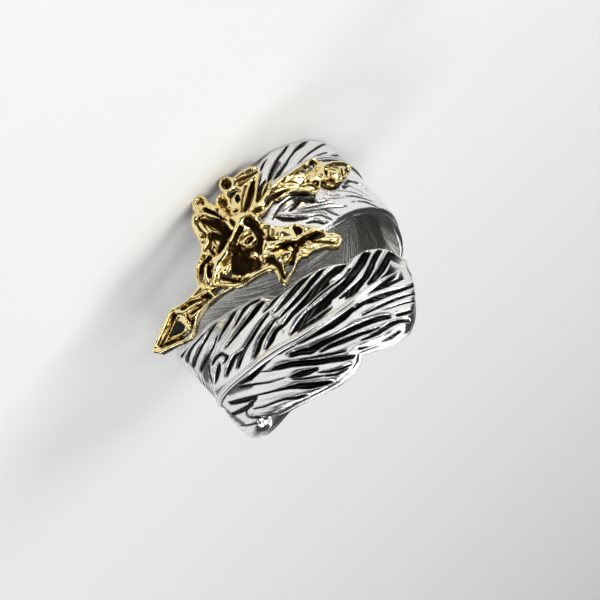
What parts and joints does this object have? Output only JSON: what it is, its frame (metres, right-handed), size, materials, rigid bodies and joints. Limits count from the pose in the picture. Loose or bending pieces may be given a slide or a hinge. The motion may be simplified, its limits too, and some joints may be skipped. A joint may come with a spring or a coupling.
{
  "type": "feather ring with a phoenix head",
  "caption": "Open bypass finger ring: a silver feather band wraps round the finger and passes itself, with a gold toned phoenix head and plume on its upper end and a black drop in the beak.",
  "frame": {"origin": "on the finger's axis, level with the far rim on which the ring lies on its side", "axes": "+Z along the finger's axis from the far rim towards the free feather's near edge, -Y towards the head's face, +X towards the beak"},
  "size_m": [0.0238, 0.0248, 0.0209],
  "materials": {
    "silver": "polished silver, blackened in the grooves",
    "gold": "polished pale gold plating, dark in the hollows",
    "black_inlay": "glossy black enamel"
  },
  "bodies": {
    "root": {"feather_band": "silver", "phoenix_head": "gold", "beak_inlay": "black_inlay"}
  },
  "joints": []
}
